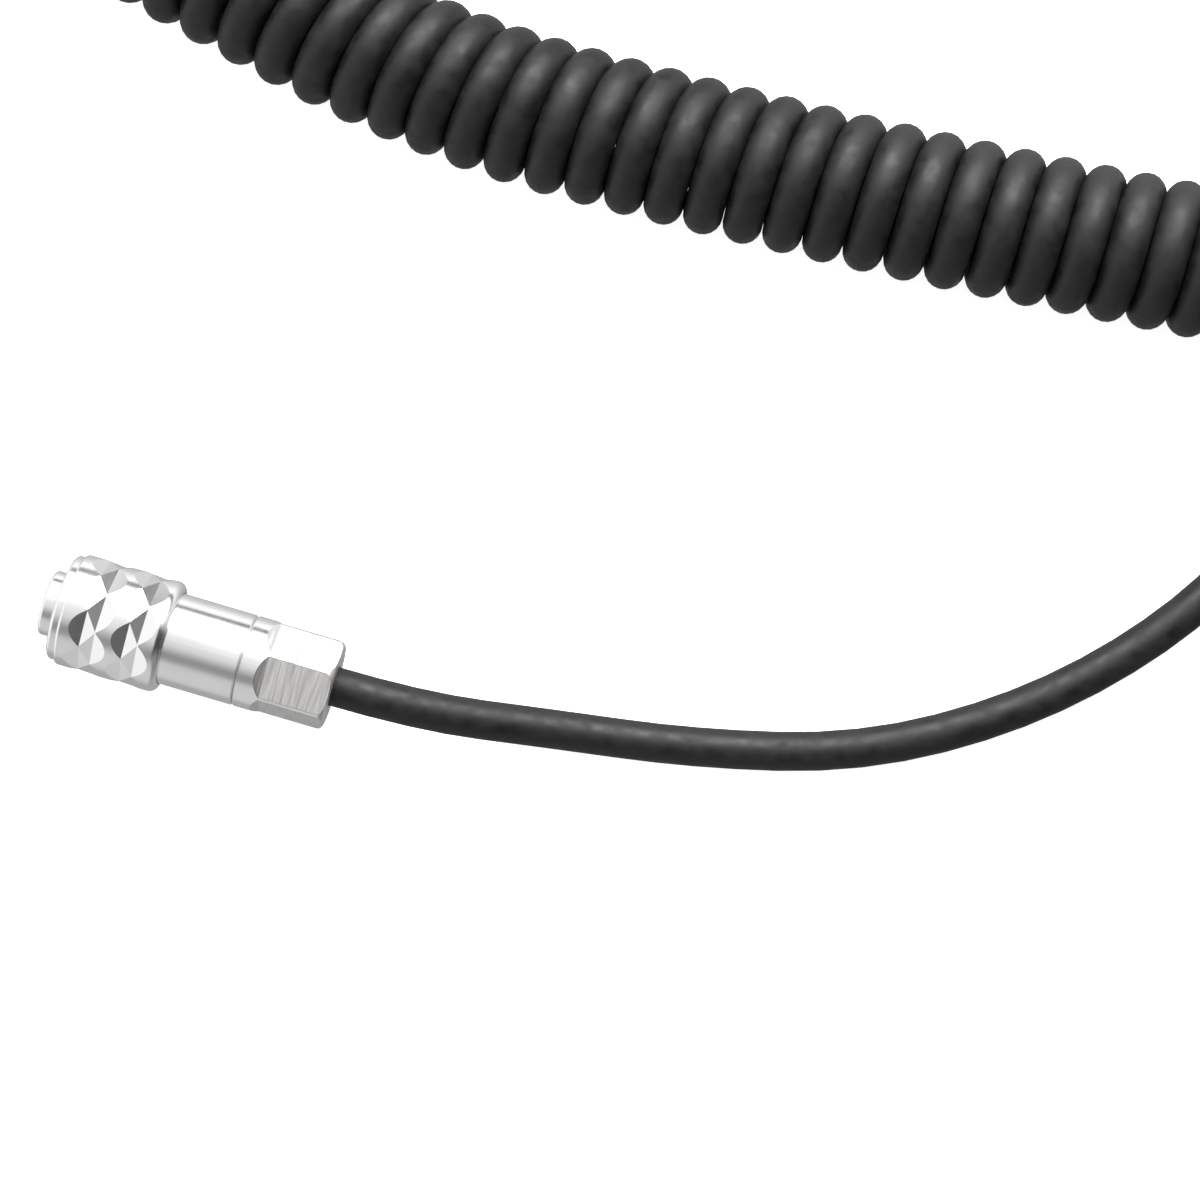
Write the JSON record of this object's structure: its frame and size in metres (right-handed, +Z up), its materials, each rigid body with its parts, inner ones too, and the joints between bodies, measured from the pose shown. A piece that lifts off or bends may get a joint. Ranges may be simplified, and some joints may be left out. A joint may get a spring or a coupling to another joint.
{
  "type": "coiled camera lead",
  "caption": "Coiled two-core camera lead: a push-pull locking metal plug with a knurled sliding sleeve, a curly cord, and a two-pin battery plug on its far end.",
  "frame": {"origin": "on the floor, under the middle of the locking plug", "axes": "+X along the locking plug from its nose to its cable, +Z up from the surface the lead lies on"},
  "size_m": [0.1607, 0.1183, 0.016],
  "materials": {
    "plug_metal": "satin turned metal",
    "sleeve_metal": "satin turned metal with bright diamond cuts",
    "insulator_plastic": "moulded black insulator",
    "contact_metal": "gold-plated contact",
    "heat_shrink": "shrunk sleeve",
    "core_red": "wire insulation",
    "core_black": "wire insulation",
    "spring_steel": "plain steel",
    "seal_rubber": "matte rubber",
    "clamp_plastic": "natural nylon",
    "cord_jacket": "matte black jacket",
    "housing_plastic": "fine spark texture"
  },
  "bodies": {
    "plug_body": {"nose_shell": "plug_metal", "contact_insulator": "insulator_plastic", "rear_insulator": "insulator_plastic", "socket_contact_positive": "contact_metal", "socket_contact_negative": "contact_metal", "heat_shrink_positive": "heat_shrink", "heat_shrink_negative": "heat_shrink", "core_wire_positive": "core_red", "core_wire_negative": "core_black", "insulator_clip": "spring_steel", "latch_collet": "spring_steel", "retaining_ring": "spring_steel", "nose_seal_ring": "seal_rubber", "barrel": "plug_metal", "sleeve_spring": "spring_steel", "seal_grommet": "seal_rubber", "thrust_washer": "spring_steel", "clamp_collet": "clamp_plastic", "clamp_nut": "plug_metal", "cable_in_plug": "cord_jacket", "lead_camera_end": "cord_jacket", "curly_cord": "cord_jacket", "lead_power_end": "cord_jacket", "housing_lower": "housing_plastic", "housing_upper": "housing_plastic", "housing_screws": "spring_steel", "power_pin_positive": "contact_metal", "power_pin_negative": "contact_metal", "pin_carrier": "insulator_plastic", "power_boot": "seal_rubber", "cable_in_power_plug": "cord_jacket", "cable_ferrule": "spring_steel", "power_wire_positive": "core_red", "power_wire_negative": "core_black"},
    "sleeve": {"sleeve_front_ring": "sleeve_metal", "locking_sleeve": "sleeve_metal"}
  },
  "joints": [
    {"name": "sleeve_slide", "type": "slide", "parent": "plug_body", "child": "sleeve", "axis": [1, 0, 0], "range_m": [0, 0.0015], "stiffness_N_per_m": 1500, "springref_m": -0.002, "deforming": ["sleeve_spring"]}
  ]
}
